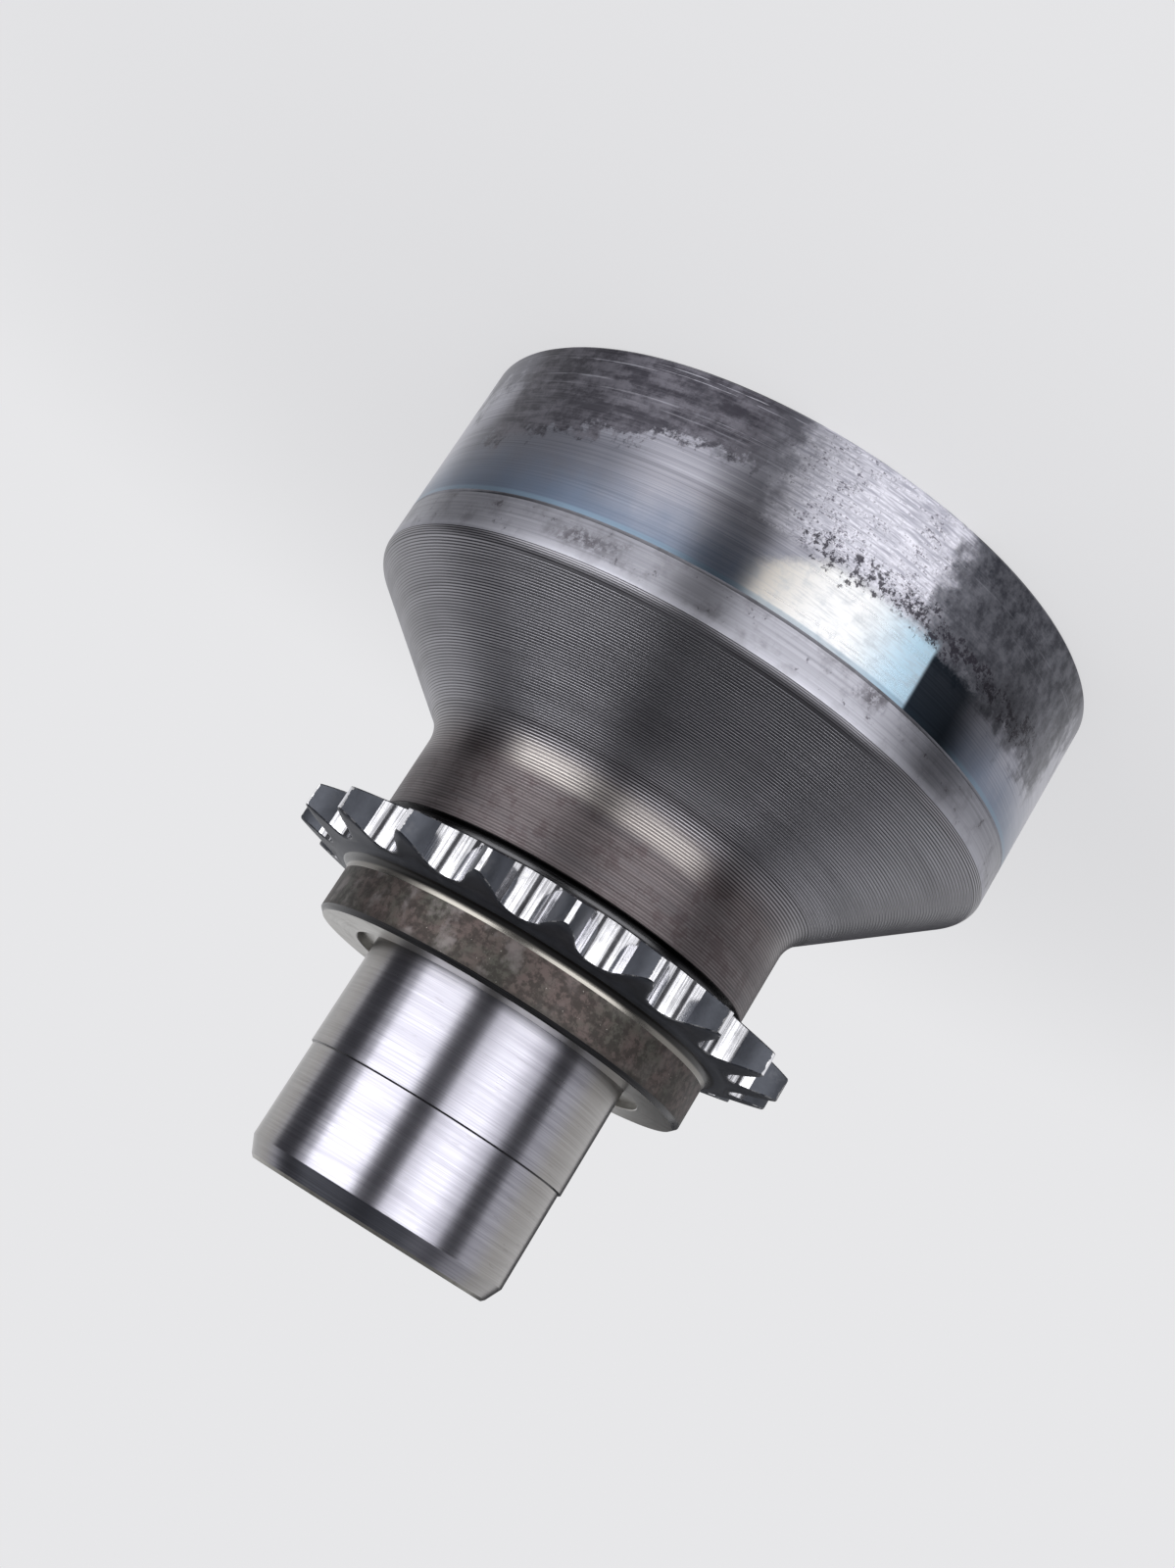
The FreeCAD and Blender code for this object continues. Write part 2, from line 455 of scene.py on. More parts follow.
def add_big_face(bm, outer_ring, inner_ring):
    """The big end's flat face between its two chamfers, and the tapped holes in it."""
    loops = [outer_ring, inner_ring]
    for index in range(damper_hole_count):
        loops.append(add_damper_hole(bm, 2 * math.pi * index / damper_hole_count))
    edges = []
    for verts in loops:
        for a, b in zip(verts, verts[1:] + verts[:1]):
            edges.append(bm.edges.get((a, b)))
    filled = bmesh.ops.triangle_fill(bm, use_beauty=True, edges=edges, normal=(0, 0, -1))
    for item in filled["geom"]:
        if isinstance(item, bmesh.types.BMFace):
            item.material_index = ZONE_INDEX["inside"]
            item.smooth = True


def hub_surface():
    """The whole hub as one closed surface, from the rim up the outside and down the bore."""
    bm = bmesh.new()
    mesh = RingMesh(bm, PLAIN_COLUMNS)
    outer_ring = mesh.corner(seal_land_radius - rim_chamfer, 0)
    add_drum(mesh)
    add_cone_and_neck(mesh)
    add_relief_groove(mesh)
    add_sprocket(mesh)
    add_collar(mesh)
    add_shaft(mesh)
    inner_ring = add_bore(mesh)
    add_big_face(bm, outer_ring, inner_ring)
    bmesh.ops.recalc_face_normals(bm, faces=bm.faces)
    return bm


# Metal surfaces. Every finish is built from the place on the hub: heights and radii are in
# millimetres, azimuths in degrees, and a noise takes its waves per millimetre or per turn. A
# layer is a share from 0 to 1 and the colour that it lays over the finish.

def rgb(red, green, blue):
    """A colour given as on a screen, 0 to 255, as the linear values that a shader takes."""
    linear = []
    for value in (red, green, blue):
        value /= 255
        linear.append(value / 12.92 if value <= 0.04045 else ((value + 0.055) / 1.055) ** 2.4)
    return (*linear, 1.0)


class Metal:
    """A metal finish, with short calls for the nodes that vary it over the hub."""

    def __init__(self, name, metallic=1.0, anisotropic=0.0):
        self.material = bpy.data.materials.new("hub_" + name)
        self.material.use_nodes = True
        self.tree = self.material.node_tree
        self.shader = self.tree.nodes["Principled BSDF"]
        self.shader.inputs["Metallic"].default_value = metallic
        self.shader.inputs["Anisotropic"].default_value = anisotropic
        if anisotropic:
            tangent = self.tree.nodes.new("ShaderNodeTangent")
            tangent.direction_type = "RADIAL"
            tangent.axis = "Z"
            self.tree.links.new(tangent.outputs[0], self.shader.inputs["Tangent"])
            self.shader.inputs["Anisotropic Rotation"].default_value = 0.25
        coordinates = self.tree.nodes.new("ShaderNodeTexCoord")
        self.place = self.scaled(coordinates.outputs["Object"], 1 / MM)
        split = self.tree.nodes.new("ShaderNodeSeparateXYZ")
        self.feed(split.inputs[0], self.place)
        x, y, self.height = split.outputs
        flat = self.joined(x, y, 0.0)
        length = self.tree.nodes.new("ShaderNodeVectorMath")
        length.operation = "LENGTH"
        self.feed(length.inputs[0], flat)
        self.radius = length.outputs["Value"]
        self.spoke = self.vector("NORMALIZE", flat)
        azimuth = self.math("ARCTAN2", x, self.math("MULTIPLY", y, -1.0))
        self.azimuth = self.math("DEGREES", azimuth)

    def feed(self, socket, source):
        """Sets a socket to a plain value, or links it to another node's output."""
        if isinstance(source, bpy.types.NodeSocket):
            self.tree.links.new(source, socket)
        else:
            socket.default_value = source

    def worked_out(self, kind, operation, first, second):
        node = self.tree.nodes.new(kind)
        node.operation = operation
        self.feed(node.inputs[0], first)
        self.feed(node.inputs[1], second)
        return node.outputs[0]

    def math(self, operation, first, second=0.0):
        return self.worked_out("ShaderNodeMath", operation, first, second)

    def vector(self, operation, first, second=(0.0, 0.0, 0.0)):
        return self.worked_out("ShaderNodeVectorMath", operation, first, second)

    def scaled(self, vector, factor):
        return self.vector("MULTIPLY", vector, (factor, factor, factor))

    def joined(self, x, y, z):
        node = self.tree.nodes.new("ShaderNodeCombineXYZ")
        for socket, source in zip(node.inputs, (x, y, z)):
            self.feed(socket, source)
        return node.outputs[0]

    def noise(self, vector, detail, roughness=0.55):
        node = self.tree.nodes.new("ShaderNodeTexNoise")
        self.feed(node.inputs["Vector"], vector)
        node.inputs["Scale"].default_value = 1.0
        node.inputs["Detail"].default_value = detail
        node.inputs["Roughness"].default_value = roughness
        return node.outputs[0]

    def cloud(self, per_mm, shift=0.0, detail=4.0, roughness=0.6):
        """Even noise in all directions; shift picks another part of it."""
        place = self.vector("ADD", self.scaled(self.place, per_mm), (shift, shift, shift))
        return self.noise(place, detail, roughness)

    def lines(self, across, per_mm, per_turn, shift=0.0, detail=2.0):
        """Noise drawn out round the axis, as grinding and turning leave it."""
        around = self.scaled(self.spoke, per_turn)
        drawn = self.joined(0.0, shift, self.math("MULTIPLY", across, per_mm))
        return self.noise(self.vector("ADD", around, drawn), detail)

    def ramp(self, value, low, high, to_low=0.0, to_high=1.0):
        """A smooth step of value from low to high."""
        node = self.tree.nodes.new("ShaderNodeMapRange")
        node.interpolation_type = "SMOOTHSTEP"
        for name, source in (("Value", value), ("From Min", low), ("From Max", high)):
            self.feed(node.inputs[name], source)
        node.inputs["To Min"].default_value = to_low
        node.inputs["To Max"].default_value = to_high
        return node.outputs[0]

    def times(self, *factors):
        product = factors[0]
        for factor in factors[1:]:
            product = self.math("MULTIPLY", product, factor)
        return product

    def plus(self, *terms):
        total = terms[0]
        for term in terms[1:]:
            total = self.math("ADD", total, term)
        return total

    def away_from(self, azimuth):
        """Degrees from an azimuth, to either side."""
        return self.math("ABSOLUTE", self.plus(self.azimuth, -azimuth))

    def between(self, value, low, high, soft):
        rise = self.ramp(value, low - soft, low + soft)
        fall = self.ramp(value, high - soft, high + soft, 1.0, 0.0)
        return self.times(rise, fall)

    def patch(self, azimuths, heights, soft, ragged, shift=0.0):
        """A place on the drum by azimuth and height, its edges soft and ragged."""
        wander = self.math("SUBTRACT", self.cloud(0.55, 7.0 + shift), 0.5)
        azimuth = self.plus(self.azimuth, self.times(wander, 2 * ragged[0]))
        height = self.plus(self.height, self.times(wander, 2 * ragged[1]))
        return self.times(self.between(azimuth, *azimuths, soft[0]),
                          self.between(height, *heights, soft[1]))

    def mix(self, factor, first, second):
        node = self.tree.nodes.new("ShaderNodeMix")
        node.data_type = "RGBA"
        self.feed(node.inputs[0], factor)
        self.feed(node.inputs[6], first)
        self.feed(node.inputs[7], second)
        return node.outputs[2]

    def layered(self, colour, layers):
        """Lays each layer over the colour and the layers before it."""
        for share, tint in layers:
            colour = self.mix(share, colour, tint)
        return colour

    def done(self, colour, roughness, relief=None, relief_mm=0.0):
        """Wires the finish up; relief is a height field of this many millimetres."""
        self.feed(self.shader.inputs["Base Color"], colour)
        self.feed(self.shader.inputs["Roughness"], roughness)
        if relief is not None:
            bump = self.tree.nodes.new("ShaderNodeBump")
            bump.inputs["Strength"].default_value = 1.0
            bump.inputs["Distance"].default_value = relief_mm * MM
            self.feed(bump.inputs["Height"], relief)
            self.tree.links.new(bump.outputs[0], self.shader.inputs["Normal"])
        return self.material


def painted_dark_reflection_left(m, fine):
    """Painted dark reflection on the left, away from the rim: the steel's colour darkened where a
    dark band would show.
    """
    share = m.times(m.ramp(m.azimuth, 20, 32), m.ramp(m.azimuth, 72, 60), m.ramp(m.height, 6, 10))
    return m.times(share, 0.85), m.mix(fine, rgb(68, 70, 78), rgb(116, 118, 128))


def painted_pale_reflection_outlines(m):
    """Painted pale reflection: paler steel colour towards both outlines of the drum, as seen from
    the front.
    """
    return m.times(m.between(m.away_from(6.0), 66, 100, 6), 0.6), rgb(200, 200, 208)


def temper_blue(m, blotch):
    """Temper blue, deepest next to the line groove."""
    share = m.ramp(m.plus(m.height, m.times(blotch, 4.0)), 12.0, 19.5, 0.0, 0.8)
    return share, rgb(100, 116, 138)


def oxide_share(m, blotch, specks):
    """Where grey oxide covers the drum: thickest near the rim."""
    edge = m.plus(m.times(blotch, 9.0), m.times(specks, 3.0), m.times(m.height, -0.4))
    return m.ramp(edge, 3.2, 5.6, 0.0, 0.75)


def frosting_painted_white(m, frost, brushed, blotch):
    """Finely pitted steel; the pits are its own, its white is a painted highlight."""
    grain = m.cloud(3.6, 57.0, 5.0, 0.75)
    pitted = m.plus(m.times(brushed, 0.6), m.times(grain, 0.8), m.times(blotch, 0.4))
    pits = m.ramp(pitted, 0.93, 1.06, 0.0, 0.9)
    white = m.mix(m.ramp(brushed, 0.3, 0.7), rgb(166, 166, 178), rgb(238, 237, 246))
    return m.times(frost, 0.85), m.mix(pits, white, rgb(86, 82, 95))


def rim_film_and_dark_reflection(m, fine):
    """Ragged dark film by the rim, on the left: partly a real film, partly painted dark reflection.
    """
    drift = m.plus(m.times(m.cloud(0.4, 41.0), 7.0), m.times(m.cloud(1.6, 43.0, 5.0, 0.75), 5.0))
    edge = m.plus(m.height, drift, m.times(m.azimuth, -0.11))
    share = m.times(m.between(m.azimuth, 10, 60, 4), m.ramp(edge, 11.1, 10.1))
    drawn = m.lines(m.height, 1.1, 7.0, 61.0, 5.0)
    even = m.cloud(1.0, 63.0, 6.0, 0.75)
    thick = m.ramp(m.plus(m.times(drawn, 0.6), m.times(even, 0.4)), 0.42, 0.62)
    film = m.mix(thick, rgb(52, 50, 57), rgb(106, 104, 112))
    film = m.mix(m.ramp(fine, 0.5, 0.8, 0.0, 0.5), film, rgb(112, 110, 118))
    return m.times(share, 0.9), film


def painted_dark_reflection_right(m):
    """Painted dark reflection on the right, mottled."""
    share = m.patch((-66, -22), (-2, 11.5), (2.0, 1.2), (6.0, 4.0), 4.0)
    mottle = m.ramp(m.cloud(0.7, 71.0, 6.0, 0.72), 0.36, 0.68)
    return m.times(share, 0.82), m.mix(mottle, rgb(40, 42, 50), rgb(104, 105, 112))


def polished_highlight_share(m, specks):
    """Where the steel is polished, and where the painted highlight on it lies: a stretch next to
    the line groove, right of the middle.
    """
    edge = m.plus(m.height, m.times(m.ramp(m.azimuth, -8, 6), -3.4), m.times(specks, -1.5))
    return m.times(m.ramp(edge, 8.6, 10.2), m.ramp(m.azimuth, 6.0, 0.0),
                   m.ramp(m.azimuth, -27.2, -26.0))


def painted_highlight_on_polish(m, polished, brushed):
    """Painted highlight on the polished stretch: cream on the left, white in the middle and pale
    blue on the right.
    """
    sheen = m.mix(m.ramp(m.azimuth, -24, -12), rgb(190, 220, 238), rgb(252, 252, 252))
    cloudy = m.ramp(m.cloud(0.8, 81.0, 5.0, 0.7), 0.45, 0.7, 0.0, 0.4)
    sheen = m.layered(sheen, [
        (m.ramp(m.azimuth, -10, 2), rgb(212, 206, 197)),
        (m.ramp(brushed, 0.45, 0.7, 0.0, 0.35), rgb(172, 176, 182)),
        (cloudy, rgb(176, 184, 192)),
    ])
    return m.times(polished, 0.92), sheen


def painted_groove_edge_highlight(m):
    """Painted highlight along the line groove's edge, as a bluish line."""
    return m.times(m.between(m.height, 15.95, 16.5, 0.12), 0.55), rgb(126, 150, 168)


def painted_sharp_dark_reflection(m, fine, specks):
    """Painted dark reflection, nearly black, with a sharp side where it meets the polished stretch.
    """
    edge = m.plus(m.height, m.times(specks, -2.0))
    share = m.times(m.ramp(m.azimuth, -26.1, -26.9), m.ramp(m.azimuth, -42.0, -34.5),
                    m.ramp(edge, 9.0, 10.2))
    return m.times(share, 0.95), m.mix(fine, rgb(10, 17, 24), rgb(28, 37, 46))


def speck_share(m):
    """Trail of dark specks across the middle of the drum."""
    wander = m.times(m.math("SUBTRACT", m.cloud(0.3, 21.0), 0.5), 5.0)
    from_trail = m.math("ABSOLUTE", m.plus(m.height, wander, -9.3))
    trail = m.times(m.ramp(from_trail, 2.2, 0.1), m.between(m.azimuth, -56, 1, 4))
    clusters = m.times(m.cloud(0.7, 33.0, 3.0), 0.5)
    dots = m.plus(m.cloud(2.0, 31.0, 6.0, 0.8), clusters, m.times(trail, 0.14))
    return m.times(m.ramp(dots, 0.86, 0.93), m.ramp(trail, 0.1, 0.5, 0.0, 0.9))


def rim_scratches(m, brushed):
    """Long light scratches near the rim."""
    scratch = m.ramp(m.lines(m.height, 4.5, 1.0, 17.0, 1.0), 0.60, 0.70)
    scratches = m.times(scratch, m.ramp(m.height, 7.0, 1.0), m.ramp(brushed, 0.4, 0.55))
    return m.times(scratches, m.ramp(m.azimuth, -30, -5, 0.15, 0.6)), rgb(196, 196, 206)


def land_metal():
    """Ground drum: brushed steel, polished and blued near the line groove, oxide near the rim, with
    painted highlights and painted dark reflections by azimuth.
    """
    m = Metal("seal_land", anisotropic=0.85)
    fine = m.lines(m.height, 7.0, 1.4)
    broad = m.lines(m.height, 0.9, 1.2, 5.0)
    brushed = m.lines(m.height, 5.0, 16.0, 51.0, 4.0)
    blotch = m.cloud(0.35, 3.0)
    specks = m.cloud(2.6, 11.0, 5.0, 0.7)
    oxide = oxide_share(m, blotch, specks)
    # The frosted stretch; the white laid on it is a painted highlight.
    frost = m.patch((-23, 6), (-2, 9.8), (3.0, 1.4), (7.0, 2.0))
    # The polished stretch, with a painted highlight laid on it.
    polished = polished_highlight_share(m, specks)
    dots = speck_share(m)
    # Painted light among the layers: dark reflections on the left and right, pale reflection at the
    # outlines, the white of the frosted and polished stretches, the groove's edge, and the rim film
    # in part.
    colour = m.layered(m.mix(fine, rgb(104, 104, 113), rgb(194, 194, 204)), [
        painted_dark_reflection_left(m, fine),
        painted_pale_reflection_outlines(m),
        temper_blue(m, blotch),
        (oxide, m.mix(fine, rgb(70, 70, 78), rgb(112, 112, 120))),
        frosting_painted_white(m, frost, brushed, blotch),
        rim_film_and_dark_reflection(m, fine),
        painted_dark_reflection_right(m),
        painted_highlight_on_polish(m, polished, brushed),
        painted_groove_edge_highlight(m),
        painted_sharp_dark_reflection(m, fine, specks),
        (dots, rgb(52, 49, 57)),
        rim_scratches(m, brushed),
    ])
    gloss = m.plus(0.30, m.times(oxide, 0.10), m.times(frost, 0.08), m.times(polished, -0.06))
    roughness = m.plus(gloss, m.times(broad, 0.08))
    return m.done(colour, roughness, m.plus(fine, m.times(dots, -1.0)), relief_mm=0.004)


def band_spots(m, blotch):
    """Scattered dark spots on the band, and two smears of them."""
    scattered = m.plus(m.cloud(1.1, 12.0, 6.0, 0.75), m.times(blotch, 0.4))
    scattered = m.times(m.ramp(scattered, 0.80, 0.88), m.between(m.height, 17.0, 20.0, 0.5))
    smears = m.plus(m.patch((22, 31), (17.6, 19.0), (3.0, 0.5), (5.0, 1.0)),
                    m.patch((-24, -19), (16.6, 18.0), (2.0, 0.5), (4.0, 1.0)))
    grain = m.ramp(m.cloud(1.5, 17.0, 6.0, 0.75), 0.42, 0.56)
    spots = m.math("MAXIMUM", scattered, m.times(smears, grain))
    return m.times(spots, 0.75), rgb(74, 70, 76)


def band_metal():
    """Ground band between the line groove and the cone: pale, mottled, with dark spots, a painted
    darker reflection towards the sides and a painted highlight along the shoulder.
    """
    m = Metal("band", anisotropic=0.7)
    fine = m.lines(m.height, 5.0, 2.0)
    blotch = m.cloud(0.45, 3.0)
    # Painted darker reflection towards the sides, and a painted highlight along the shoulder's
    # round.
    dark_reflection = m.times(m.ramp(m.away_from(-6.0), 16, 30), m.ramp(m.height, 19.4, 17.8, 0.35, 0.6))
    crown_highlight = m.between(m.height, cone_start - 1.0, cone_start + 0.2, 0.3)
    colour = m.layered(m.mix(fine, rgb(134, 134, 142), rgb(196, 196, 205)), [
        (m.ramp(blotch, 0.45, 0.7, 0.0, 0.7), rgb(126, 125, 131)),
        (dark_reflection, m.mix(fine, rgb(84, 85, 92), rgb(126, 127, 134))),
        (m.times(crown_highlight, 0.35), rgb(200, 200, 209)),
        band_spots(m, blotch),
    ])
    roughness = m.plus(0.32, m.times(blotch, 0.12), m.times(crown_highlight, 0.12))
    return m.done(colour, roughness, fine, relief_mm=0.004)


def painted_crest_highlight_and_valley_shade(m, along, start, end, count):
    """Painted highlight on the crests and painted shade in the valleys of evenly spaced turned
    grooves.
    """
    turns = m.math("MULTIPLY", m.plus(along, -start), 2 * math.pi * count / (end - start))
    return m.math("POWER", m.plus(m.times(m.math("COSINE", turns), 0.5), 0.5), 1.5)


def turned_crest_highlight_and_valley_shade(m):
    """Painted crest highlights and valley shade of the cone's, the fillet's and the neck's grooves,
    each over its own stretch.
    """
    inward = m.plus(m.times(m.radius, -1.0), neck_radius + neck_fillet)
    fillet_angle = m.math("ARCTAN2", m.plus(m.times(m.height, -1.0), fillet_end), inward)
    on_cone = m.ramp(m.height, cone_line_end + 0.01, cone_line_end - 0.01)
    on_neck = m.ramp(m.height, neck_line_start - 0.01, neck_line_start + 0.01)
    on_fillet = m.math("SUBTRACT", m.math("SUBTRACT", 1.0, on_cone), on_neck)
    cone_waves = painted_crest_highlight_and_valley_shade(m, m.height, cone_line_start, cone_line_end, cone_groove_count)
    fillet_waves = painted_crest_highlight_and_valley_shade(m, fillet_angle, 0, cone_half_angle, fillet_groove_count)
    neck_waves = painted_crest_highlight_and_valley_shade(m, m.height, neck_line_start, neck_line_end, neck_groove_count)
    return m.plus(m.times(cone_waves, on_cone), m.times(fillet_waves, on_fillet),
                  m.times(neck_waves, on_neck))


def mauve_neck(m):
    """Mauve scale on the neck."""
    mauve = m.ramp(m.cloud(0.5, 25.0, 5.0, 0.7), 0.5, 0.64, 0.0, 0.45)
    return m.times(mauve, m.ramp(m.height, cone_end, cone_end + 4)), rgb(74, 62, 64)


def painted_dark_reflection_cone(m):
    """Painted dark reflection on the cone, in the middle and towards both outlines."""
    outlines = m.ramp(m.math("ABSOLUTE", m.azimuth), 52, 76, 0.0, 0.3)
    middle = m.times(m.between(m.azimuth, -22, 12, 7), 0.42)
    share = m.times(m.math("MAXIMUM", outlines, middle), m.ramp(m.height, cone_end, cone_end - 4))
    return share, rgb(36, 36, 40)


def painted_dark_reflection_upper_cone(m):
    """Painted dark reflection in stretches on both sides of the middle, on the wide part of the
    cone.
    """
    places = m.plus(m.between(m.azimuth, -28, 0, 4), m.between(m.azimuth, 14, 35, 4))
    return m.times(places, m.ramp(m.height, 28, 26), 0.24), rgb(36, 36, 40)


def painted_fillet_highlight(m, lines):
    """Painted highlight on the crests along the fillet."""
    line = m.plus(m.height, m.times(m.azimuth, 0.012))
    crown_highlight = m.times(m.between(line, 32.55, 34.85, 0.75), m.between(m.azimuth, -24, 36, 6),
                    m.ramp(m.azimuth, 8, 22, 0.66, 0.85))
    return m.times(crown_highlight, lines), rgb(214, 208, 203)


def turned_metal():
    """Coarse-turned cone, fillet and neck: grey on the cone, browner on the neck, with painted
    highlights and shade on the grooves, painted dark reflections on the cone and a painted
    highlight along the fillet.
    """
    m = Metal("turned", anisotropic=0.5)
    grain = m.lines(m.height, 5.5, 2.5)
    broad = m.lines(m.height, 0.8, 1.5, 9.0)
    blotch = m.cloud(0.25, 5.0)
    clearness = m.ramp(m.height, fillet_end - 1, fillet_end + 4, 0.8, 0.35)
    # The lines mix the turning grain with painted highlights on the crests and painted shade in the
    # valleys.
    lines = m.plus(grain, m.times(clearness, m.math("SUBTRACT", turned_crest_highlight_and_valley_shade(m), grain)))
    grey = m.mix(lines, rgb(12, 12, 16), rgb(184, 183, 190))
    brown = m.mix(lines, rgb(38, 34, 35), rgb(134, 126, 128))
    colour = m.layered(grey, [
        (m.ramp(m.height, cone_end - 2.5, cone_end + 2.5), brown),
        (m.ramp(broad, 0.45, 0.75, 0.0, 0.3), rgb(84, 83, 87)),
        mauve_neck(m),
        painted_dark_reflection_cone(m),
        painted_dark_reflection_upper_cone(m),
        painted_fillet_highlight(m, lines),
    ])
    oily = m.ramp(m.height, 34.2, 37.0, 0.0, 0.12)
    roughness = m.plus(0.33, m.times(blotch, 0.10), oily)
    return m.done(colour, roughness, grain, relief_mm=0.004)


def groove_painted_shade_metal():
    """Fine grooves and steps, and the collar's chamfer, painted dark as shade."""
    m = Metal("groove")
    lines = m.lines(m.height, 6.0, 3.0)
    colour = m.mix(lines, rgb(34, 34, 36), rgb(84, 84, 86))
    return m.done(colour, m.ramp(lines, 0.3, 0.7, 0.18, 0.34))


def flank_metal():
    """Dark flanks and sides of the teeth, with bright chips along the edges."""
    m = Metal("flank", metallic=0.9)
    blotch = m.cloud(0.9, 4.0)
    fine = m.cloud(4.0, 9.0)
    from_tip = m.math("SUBTRACT", tooth_tip_radius, m.radius)
    chips = m.ramp(m.math("SUBTRACT", m.times(m.cloud(1.6, 9.0), 0.5), from_tip), 0.16, 0.22)
    rubbed = m.ramp(m.cloud(0.6, 14.0), 0.56, 0.7, 0.0, 0.25)
    colour = m.layered(m.mix(blotch, rgb(60, 62, 68), rgb(84, 87, 94)), [
        (chips, rgb(190, 189, 190)),
        (rubbed, rgb(104, 104, 108)),
    ])
    roughness = m.plus(0.42, m.times(chips, -0.2), m.times(blotch, 0.1))
    return m.done(colour, roughness, fine, relief_mm=0.004)


def edge_metal():
    """Narrow broken edges of the teeth, worn bright in places."""
    m = Metal("edge", metallic=0.95)
    wear = m.ramp(m.cloud(1.0, 23.0, 5.0, 0.7), 0.48, 0.62)
    return m.done(m.mix(wear, rgb(66, 68, 74), rgb(158, 158, 160)), 0.34)


def seat_metal():
    """Roller seats and tooth tips polished by the chain, streaked along the axis."""
    m = Metal("seat")
    streaks = m.noise(m.vector("MULTIPLY", m.place, (5.0, 5.0, 0.12)), 3.0)
    colour = m.mix(m.ramp(streaks, 0.35, 0.55), rgb(176, 176, 180), rgb(244, 244, 248))
    # Real wear: duller patches on the seats.
    wear_and_highlight = m.ramp(m.cloud(0.8, 6.0), 0.60, 0.70, 0.0, 0.3)
    colour = m.mix(wear_and_highlight, colour, rgb(120, 120, 124))
    return m.done(colour, m.ramp(m.cloud(0.8, 9.0), 0.3, 0.7, 0.09, 0.15))


def collar_metal():
    """Collar left with its scale: olive, brown and mauve mottling with tiny bright nicks."""
    m = Metal("collar", metallic=0.85)
    large = m.cloud(0.3, 2.0)
    small = m.cloud(1.1, 8.0, 6.0, 0.7)
    drawn = m.lines(m.height, 1.6, 9.0, 3.0, 4.0)
    pale = m.times(m.ramp(m.cloud(0.4, 15.0), 0.48, 0.66), m.ramp(m.azimuth, -14, 16, 0.15, 0.6))
    edge = collar_face - collar_chamfer
    rim = m.ramp(m.plus(m.height, m.times(small, 0.4)), edge - 0.25, edge + 0.1)
    nicks = m.ramp(m.cloud(3.2, 19.0, 2.0, 0.5), 0.735, 0.77, 0.0, 0.7)
    colour = m.layered(m.mix(m.ramp(large, 0.38, 0.62), rgb(76, 75, 70), rgb(86, 76, 74)), [
        (m.ramp(small, 0.44, 0.58, 0.0, 0.75), rgb(50, 47, 45)),
        (m.ramp(drawn, 0.5, 0.66, 0.0, 0.5), rgb(54, 49, 48)),
        (pale, rgb(124, 118, 118)),
        (m.times(rim, 0.5), rgb(50, 48, 46)),
        (nicks, rgb(176, 170, 165)),
    ])
    return m.done(colour, m.plus(0.46, m.times(small, 0.14)), small, relief_mm=0.008)


def fillet_metal():
    """Small smooth fillet between the sprocket's side and the collar: dark as painted shade in the
    corner, with a painted highlight line where it meets the collar.
    """
    m = Metal("fillet")
    rings = m.lines(m.plus(m.radius, m.height), 5.0, 2.0)
    # Painted highlight line along the fillet's end at the collar.
    wear_and_highlight = m.ramp(m.radius, collar_radius + 0.16, collar_radius + 0.06)
    colour = m.mix(wear_and_highlight, m.mix(rings, rgb(46, 46, 47), rgb(72, 71, 70)), rgb(128, 125, 120))
    return m.done(colour, m.ramp(rings, 0.3, 0.7, 0.24, 0.34))


def face_metal():
    """Fine-turned faces of the collar and the shaft's end, bright and slightly warm."""
    m = Metal("face", anisotropic=0.4)
    rings = m.lines(m.radius, 5.0, 2.5)
    blotch = m.cloud(0.4, 6.0)
    colour = m.mix(rings, rgb(124, 122, 117), rgb(180, 178, 172))
    colour = m.mix(m.ramp(blotch, 0.5, 0.7, 0.0, 0.5), colour, rgb(106, 100, 92))
    return m.done(colour, m.plus(0.26, m.times(blotch, 0.1)), rings, relief_mm=0.004)


def shaft_lead_in_dark_reflection(m, fine):
    """Painted dark reflection on the lead-in, most of all in front."""
    lead_in_start = shaft_end - lead_in_length
    lead_in = m.ramp(m.height, lead_in_start - 0.05, lead_in_start + 0.05)
    front = m.ramp(m.away_from(12.0), 44, 22, 0.1, 0.9)
    return m.times(lead_in, front), m.mix(fine, rgb(50, 52, 58), rgb(86, 88, 96))


def shaft_metal():
    """Ground pilot shaft: bright, with a lavender cast and fine brushing, warmer at the sides, with
    painted dark reflections in two bands, towards both outlines and on the lead-in.
    """
    m = Metal("shaft", anisotropic=0.8)
    fine = m.lines(m.height, 8.0, 1.0)
    broad = m.lines(m.height, 0.9, 0.8, 4.0)
    blotch = m.cloud(0.3, 9.0)
    warm = m.ramp(m.away_from(4.0), 44, 58, 0.0, 0.7)
    # Painted dark reflections: two upright bands, and darker towards both outlines.
    dark_reflection = m.plus(m.times(m.between(m.azimuth, -29, -19, 5), 0.62),
                  m.times(m.between(m.azimuth, -5, 5, 4), 0.35))
    outlines = m.ramp(m.away_from(-4.0), 68, 80, 0.0, 0.5)
    scratch = m.ramp(m.noise(m.vector("MULTIPLY", m.place, (0.5, 0.5, 3.4)), 1.0), 0.69, 0.73)
    colour = m.layered(m.mix(fine, rgb(122, 121, 130), rgb(188, 187, 196)), [
        (m.ramp(broad, 0.5, 0.75, 0.0, 0.4), rgb(126, 125, 134)),
        (warm, m.mix(fine, rgb(136, 132, 124), rgb(172, 169, 162))),
        (dark_reflection, rgb(92, 91, 99)),
        (outlines, rgb(104, 102, 100)),
        shaft_lead_in_dark_reflection(m, fine),
        (m.times(scratch, 0.2), rgb(110, 106, 102)),
    ])
    return m.done(colour, m.plus(0.25, m.times(blotch, 0.08)), fine, relief_mm=0.0015)


